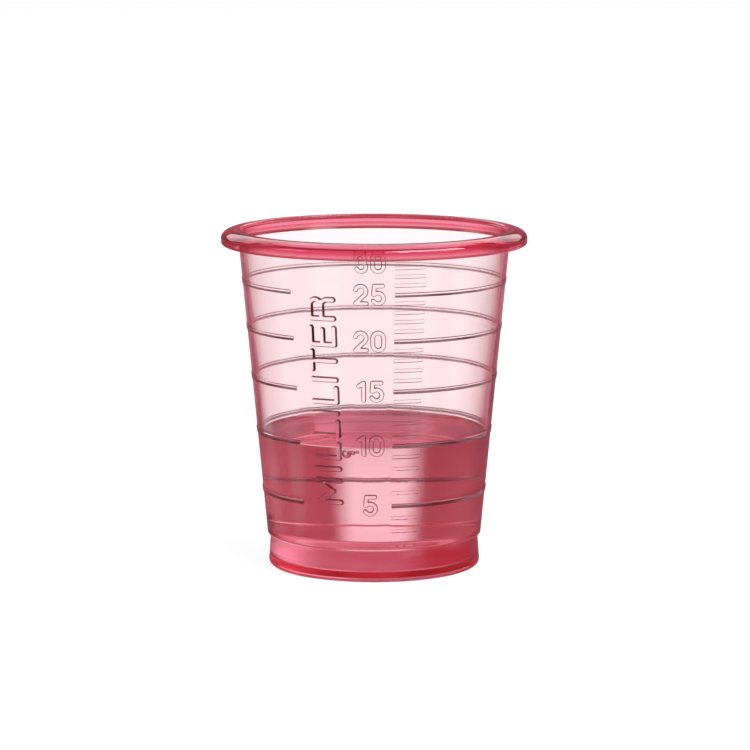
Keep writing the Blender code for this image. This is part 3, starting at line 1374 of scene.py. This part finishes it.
    def build(self) -> bpy.types.Object:
        """Turn the cup, raise its scale and dress it.

        Returns:
            The finished cup.
        """
        material = self.finish.material()
        blank = new_object("cup_blank", turned("cup_blank", self.form.outline(), self.segments))
        relief = self.relief(material)
        join = blank.modifiers.new("raised_scale", "BOOLEAN")
        join.operation = "UNION"
        join.solver = "EXACT"
        join.object = relief
        mesh = plain_copy(blank, "clear_cup")
        for used in (blank, relief):
            bpy.data.objects.remove(used)
        mesh.shade_smooth()
        mesh.set_sharp_from_angle(angle=self.sharp_angle)
        self.smooth_wall(mesh)
        self.mark_flanks(mesh)
        mesh.materials.clear()
        mesh.materials.append(material)
        cup = new_object("clear_cup", mesh)
        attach(cup, "root")
        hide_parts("cup")
        return cup


@dataclass(frozen=True)
class Bubble:
    """A bubble of air in the liquid: its angle, its size, and how deep its middle lies under the level."""

    angle: float
    radius: float
    depth: float


@dataclass
class Medicine:
    """The liquid in the cup, with its curved edge at the wall and a few bubbles at the front.

    Attributes:
        form: Sizes of the cup that holds it.
        finish: Finish of the liquid.
        level: Height of the flat top of its solid.
        segments: Faces round the liquid.
        wetting: Distance by which the liquid reaches into the cup's wall, so that no air shows between them.
        climb: Height of the surface at the wall over the level, which is below it here.
        sag: Depth of the surface in the middle, under the level.
        climb_reach: Distance from the wall over which the surface climbs.
        surface_steps: Rings of faces on the surface.
        ring_exponent: How much closer those rings lie in the middle than at the wall.
        sharp_angle: Angle between two faces from which their edge is sharp.
        bubble_fineness: Fineness of a bubble's faces.
        bubble_gap: Distance between a bubble and the wall.
        bubbles: The bubbles.
    """

    form: CupForm
    finish: ClearFinish
    level: float
    segments: int = 192
    wetting: float = 0.04 * MM
    climb: float = -0.43 * MM
    sag: float = 0.66 * MM
    climb_reach: float = 0.75 * MM
    surface_steps: int = 40
    ring_exponent: float = 1.7
    sharp_angle: float = math.radians(40.0)
    bubble_fineness: int = 4
    bubble_gap: float = 0.12 * MM
    bubbles: tuple[Bubble, ...] = (
        Bubble(math.radians(-14.2), 0.60 * MM, 1.22 * MM),
        Bubble(math.radians(-10.8), 0.34 * MM, 1.00 * MM),
        Bubble(math.radians(-8.4), 0.24 * MM, 0.92 * MM),
    )

    def surface(self, radius: float, edge: float) -> float:
        """Height of the surface, which climbs the wall at its edge."""
        return self.level - self.sag + (self.climb + self.sag) * math.exp((radius - edge) / self.climb_reach)

    def outline(self) -> list[Point]:
        """Outline of the liquid, from the middle of the cup's floor to the middle of the surface.

        Returns:
            The points.
        """
        edge = self.form.bore(self.level + self.climb) + self.wetting
        points = self.form.inside(-self.wetting)
        for step in range(self.surface_steps + 1):
            radius = edge * (1.0 - step / self.surface_steps) ** self.ring_exponent
            points.append((radius, self.surface(radius, edge)))
        return points

    def add_bubble(self, work: bmesh.types.BMesh, bubble: Bubble) -> None:
        """Add a hollow for a bubble, whose faces point into it and so out of the liquid.

        Args:
            work: Mesh of the liquid.
            bubble: The bubble.
        """
        height = self.level - bubble.depth
        reach = self.form.bore(height) - bubble.radius - self.bubble_gap
        sphere = bmesh.ops.create_icosphere(work, subdivisions=self.bubble_fineness, radius=bubble.radius)
        bmesh.ops.translate(work, verts=sphere["verts"], vec=round_the_axis(bubble.angle, reach, height))
        skin = {face for vert in sphere["verts"] for face in vert.link_faces}
        bmesh.ops.reverse_faces(work, faces=list(skin))

    def build(self) -> bpy.types.Object:
        """Make the liquid and dress it.

        Returns:
            The finished liquid.
        """
        plain = turned("medicine", self.outline(), self.segments)
        work = bmesh.new()
        work.from_mesh(plain)
        bpy.data.meshes.remove(plain)
        for bubble in self.bubbles:
            self.add_bubble(work, bubble)
        mesh = mesh_from("medicine", work)
        mesh.shade_smooth()
        mesh.set_sharp_from_angle(angle=self.sharp_angle)
        mesh.materials.append(self.finish.material())
        liquid = new_object("medicine", mesh)
        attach(liquid, "root")
        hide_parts("medicine_liquid")
        return liquid


@dataclass(frozen=True)
class Softbox:
    """A soft lamp: where it stands, what it looks at, how large and how strong it is."""

    name: str
    place: Place
    target: Place
    size: Point
    watts: float

    def build(self) -> None:
        """Put the lamp into the scene."""
        lamp = bpy.data.lights.new(self.name, "AREA")
        lamp.shape = "RECTANGLE"
        lamp.size, lamp.size_y = self.size
        lamp.energy = self.watts
        holder = bpy.data.objects.new(self.name, lamp)
        holder.location = self.place
        aim = Vector(self.target) - Vector(self.place)
        holder.rotation_euler = aim.to_track_quat("-Z", "Y").to_euler()
        holder.visible_transmission = False
        bpy.context.scene.collection.objects.link(holder)


# Limits in degrees of a region that goes all round, straight down or straight up, past its own soft edges
ALL_ROUND = 190.0
NADIR = -95.0
ZENITH = 95.0


@dataclass(frozen=True)
class Region:
    """Part of the surroundings as seen through the cup: where it lies, in degrees, and its colour.

    Attributes:
        centre: Azimuth of its middle, turned from +Y towards +X.
        half_width: Half of its width.
        lowest: Lowest elevation.
        highest: Highest elevation.
        colour: Its colour.
        side_spread: Width of its soft edges at the sides.
        end_spread: Width of its soft edges at the top and the bottom.
    """

    centre: float
    half_width: float
    lowest: float
    highest: float
    colour: Colour
    side_spread: float = 12.0
    end_spread: float = 4.0


def region_group() -> bpy.types.NodeTree:
    """Shader node group that masks one region of the surroundings.

    Returns:
        A group that gives 1 within a half width of an azimuth and between two elevations, with soft edges.
    """
    name = "backdrop_region"
    if name in bpy.data.node_groups:
        return bpy.data.node_groups[name]
    labels = ("Azimuth", "Elevation", "Centre", "Half Width", "Lowest", "Highest", "Side Spread",
              "End Spread")
    tree = empty_group(name, "ShaderNodeTree", dict.fromkeys(labels, "Float"), {"Factor": "Float"})
    sheet = NodeSheet(tree)
    given = sheet.add("NodeGroupInput").outputs
    away = sheet.maths("SUBTRACT", given["Azimuth"], given["Centre"])
    away = sheet.maths("ABSOLUTE", sheet.maths("WRAP", away, math.pi, -math.pi))
    elevation, end_spread = given["Elevation"], given["End Spread"]
    wide = sheet.soft_step(sheet.maths("SUBTRACT", given["Half Width"], away), given["Side Spread"])
    over = sheet.soft_step(sheet.maths("SUBTRACT", elevation, given["Lowest"]), end_spread)
    under = sheet.soft_step(sheet.maths("SUBTRACT", given["Highest"], elevation), end_spread)
    factor = sheet.maths("MULTIPLY", wide, sheet.maths("MULTIPLY", over, under))
    sheet.feed(sheet.add("NodeGroupOutput").inputs["Factor"], factor)
    return tree


@dataclass
class Studio:
    """Pale floor, soft light and the camera.

    Attributes:
        bounces: How often a light path may go through a surface or off it.
        disc_segments: Corners of a round stage piece.
        floor_radius: Radius of the floor.
        floor_paint: Colour of the floor in the light of the lamps.
        glow_share: Share of white that the camera sees in the floor whatever the light on it.
        camera_place: Where the camera stands.
        camera_pitch: Its turn from looking straight down.
        camera_clip: Nearest and farthest distance that it sees.
        lens: Its focal length in millimetres.
        sensor: Width of its picture in millimetres.
        surroundings: Colour round the cup where no region lies, as seen through the cup.
        regions: The regions of the surroundings, each laid over those before it.
        reflected: Colour that the surroundings have in reflections.
        lamp_white: White of the light from all round.
        patch_radius: Radius of the table top that shows through the cup.
        patch_drop: Its depth under the floor.
        patch_lit: Its colour on the left, a painted light tinted by the cup that it went through.
        patch_deep: Its colour on the right, a painted shade.
        patch_turn: Where the painted light goes over into the painted shade, along X.
        patch_spread: Width over which it does.
        softboxes: The lamps.
    """

    bounces: int = 32
    disc_segments: int = 128
    floor_radius: float = 3.0
    floor_paint: Colour = (0.9, 0.9, 0.9, 1.0)
    glow_share: float = 0.80
    camera_place: Place = (0.00011, -0.4697, 0.0960)
    camera_pitch: float = math.radians(81.38)
    camera_clip: Point = (0.01, 20.0)
    lens: float = 175.0
    sensor: float = 36.0
    surroundings: Colour = (0.48, 0.13, 0.17, 1.0)
    regions: tuple[Region, ...] = (
        Region(-45, 35, NADIR, 5.5, (0.40, 0.080, 0.105, 1.0)),
        Region(-60, 20, -6.5, 5.5, (0.27, 0.030, 0.05, 1.0), 16.0, 3.0),
        Region(24, 22, NADIR, 5.5, (0.46, 0.100, 0.135, 1.0)),
        Region(62, 20, NADIR, 5.5, (0.42, 0.060, 0.09, 1.0), 10.0),
        Region(62, 10, -15, -8.5, (0.03, 0.008, 0.012, 1.0), 8.0, 2.0),
        Region(-55, 30, -1.0, 6.0, (0.95, 0.62, 0.70, 1.0), 16.0, 3.0),
        Region(0, 72, 7.0, ZENITH, (0.40, 0.20, 0.24, 1.0), 16.0, 6.0),
        Region(0, ALL_ROUND, 32, ZENITH, (1.05, 0.98, 1.00, 1.0), 16.0, 8.0),
        Region(0, 22, 5.5, 26, (0.63, 0.25, 0.33, 1.0), 12.0, 5.0),
        Region(51, 26, 3.0, 34, (1.45, 1.15, 1.30, 1.0), 26.0, 6.0),
        Region(-46, 34, 5.5, 34, (0.47, 0.004, 0.03, 1.0), 16.0, 6.0),
        Region(0, ALL_ROUND, NADIR, -16, (0.50, 0.15, 0.20, 1.0), 6.0, 10.0),
        Region(50, 40, NADIR, -18, (1.00, 0.38, 0.46, 1.0), 40.0, 12.0),
        Region(-0.9, 9.2, -24, 5.5, (1.12, 1.14, 1.14, 1.0), 8.0),
        Region(-45, 11, -40, -15, (1.08, 1.07, 1.07, 1.0)),
        Region(-90, 10, -24, 5.5, (1.08, 1.07, 1.07, 1.0)),
        Region(135, 12, -30, 5.5, (1.08, 1.07, 1.07, 1.0)),
    )
    reflected: Colour = (0.38, 0.12, 0.15, 1.0)
    lamp_white: Colour = (1.0, 1.0, 1.0, 1.0)
    patch_radius: float = 21.5 * MM
    patch_drop: float = 0.1 * MM
    patch_lit: Colour = (0.95, 0.36, 0.46, 1.0)
    patch_deep: Colour = (0.52, 0.14, 0.19, 1.0)
    patch_turn: float = -3.0 * MM
    patch_spread: float = 4.0 * MM
    softboxes: tuple[Softbox, ...] = (
        Softbox("behind", (0.0, 0.69, 0.44), (0.0, 0.0, 0.04), (1.40, 0.44), 2.8),
        Softbox("front_right", (0.49, -0.40, 0.76), (0.0, 0.0, 0.04), (0.90, 0.34), 12.0),
        Softbox("left", (-0.60, -0.25, 0.40), (0.0, 0.0, 0.04), (0.30, 0.40), 0.7),
    )

    def disc(self, name: str, radius: float, height: float) -> bpy.types.Object:
        """Flat round stage piece that faces up.

        Args:
            name: Name of the piece.
            radius: Its radius.
            height: Its height above the table.

        Returns:
            The piece.
        """
        work = bmesh.new()
        bmesh.ops.create_circle(work, cap_ends=True, segments=self.disc_segments, radius=radius)
        bmesh.ops.translate(work, verts=work.verts, vec=(0.0, 0.0, height))
        return new_object(name, mesh_from(name, work))

    def sheet_for(self, holder: bpy.types.Object, name: str) -> NodeSheet:
        """Give a stage piece an empty material of its own.

        Args:
            holder: The piece.
            name: Name of the material.

        Returns:
            The sheet to build on.
        """
        material = bpy.data.materials.new(name)
        holder.data.materials.append(material)
        return cleared_sheet(material)

    def floor(self) -> None:
        """Floor that the cup stands on and casts its shadow on."""
        floor = self.disc("floor", self.floor_radius, 0.0)
        sheet = self.sheet_for(floor, "pale_floor")
        paint = sheet.add("ShaderNodeBsdfDiffuse")
        paint.inputs["Color"].default_value = self.floor_paint
        glow = sheet.add("ShaderNodeEmission")
        glow.inputs["Color"].default_value = self.lamp_white
        rays = sheet.add("ShaderNodeLightPath").outputs
        seen = sheet.maths("MULTIPLY", rays["Is Camera Ray"], self.glow_share)
        surface = sheet.mixed(seen, paint.outputs[0], glow.outputs[0])
        sheet.feed(sheet.add("ShaderNodeOutputMaterial").inputs["Surface"], surface)
        floor.visible_transmission = False
        floor.visible_glossy = False

    def patch(self) -> None:
        """Table top round the foot, as it shows through the cup: a glowing disc with painted light that the
        cup tints on the left and painted shade on the right.
        """
        patch = self.disc("table_patch", self.patch_radius, -self.patch_drop)
        sheet = self.sheet_for(patch, "painted_light_and_shade_on_table")
        place = sheet.split(sheet.add("ShaderNodeTexCoord").outputs["Object"])
        # Painted light on the left of the disc goes over into painted shade on the right
        side = sheet.soft_step(sheet.maths("SUBTRACT", self.patch_turn, place[0]), self.patch_spread)
        glow = sheet.add("ShaderNodeEmission")
        sheet.feed(glow.inputs["Color"], sheet.blend(side, self.patch_deep, self.patch_lit))
        sheet.feed(sheet.add("ShaderNodeOutputMaterial").inputs["Surface"], glow.outputs[0])
        for sight in ("camera", "diffuse", "glossy", "shadow", "volume_scatter"):
            setattr(patch, "visible_" + sight, False)

    def world(self) -> None:
        """Light from all round, white behind the cup for the camera and patterned through the cup."""
        world = bpy.data.worlds.new("studio")
        bpy.context.scene.world = world
        sheet = cleared_sheet(world)
        rays = sheet.add("ShaderNodeLightPath").outputs
        direction = sheet.split(sheet.add("ShaderNodeTexCoord").outputs["Generated"])
        azimuth = sheet.maths("ARCTAN2", direction[0], direction[1])
        elevation = sheet.maths("ARCSINE", direction[2])
        tone: object = self.surroundings
        for region in self.regions:
            node = sheet.add("ShaderNodeGroup", node_tree=region_group())
            sheet.feed(node.inputs["Azimuth"], azimuth)
            sheet.feed(node.inputs["Elevation"], elevation)
            for label, degrees in (("Centre", region.centre), ("Half Width", region.half_width),
                                   ("Lowest", region.lowest), ("Highest", region.highest),
                                   ("Side Spread", region.side_spread), ("End Spread", region.end_spread)):
                sheet.feed(node.inputs[label], math.radians(degrees))
            tone = sheet.blend(node.outputs["Factor"], tone, region.colour)
        through = sheet.add("ShaderNodeBackground")
        sheet.feed(through.inputs["Color"], tone)
        room = sheet.add("ShaderNodeBackground")
        mirrored = sheet.maths("SUBTRACT", rays["Is Glossy Ray"], rays["Is Camera Ray"])
        mirrored = sheet.maths("MAXIMUM", mirrored, 0.0)
        sheet.feed(room.inputs["Color"], sheet.blend(mirrored, self.lamp_white, self.reflected))
        surface = sheet.mixed(rays["Is Transmission Ray"], room.outputs[0], through.outputs[0])
        sheet.feed(sheet.add("ShaderNodeOutputWorld").inputs["Surface"], surface)

    def camera(self) -> None:
        """Camera at the viewing angle of the photograph."""
        lens = bpy.data.cameras.new("camera")
        lens.lens = self.lens
        lens.sensor_width = self.sensor
        lens.clip_start, lens.clip_end = self.camera_clip
        holder = bpy.data.objects.new("camera", lens)
        holder.location = self.camera_place
        holder.rotation_euler = (self.camera_pitch, 0.0, 0.0)
        bpy.context.scene.collection.objects.link(holder)
        bpy.context.scene.camera = holder

    def build(self) -> None:
        """Set the whole studio up."""
        scene = bpy.context.scene
        scene.view_settings.view_transform = "Standard"
        scene.cycles.max_bounces = self.bounces
        scene.cycles.transmission_bounces = self.bounces
        scene.cycles.glossy_bounces = self.bounces
        self.camera()
        self.floor()
        self.patch()
        self.world()
        for softbox in self.softboxes:
            softbox.build()


def main() -> None:
    """Build the studio, the cup and what is in it, and report each piece."""
    logging.basicConfig(level=logging.INFO, format="%(message)s")
    Studio().build()
    low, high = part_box("cup")
    form = CupForm(height=high.z - low.z, rim_radius=high.x)
    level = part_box("medicine_liquid")[1].z
    for part in (Cup(form, TINTED_PLASTIC), Medicine(form, RED_MEDICINE, level)):
        piece = part.build()
        LOG.info("%s: %d vertices, %d faces", piece.name, len(piece.data.vertices), len(piece.data.polygons))


if __name__ == "__main__":
    main()
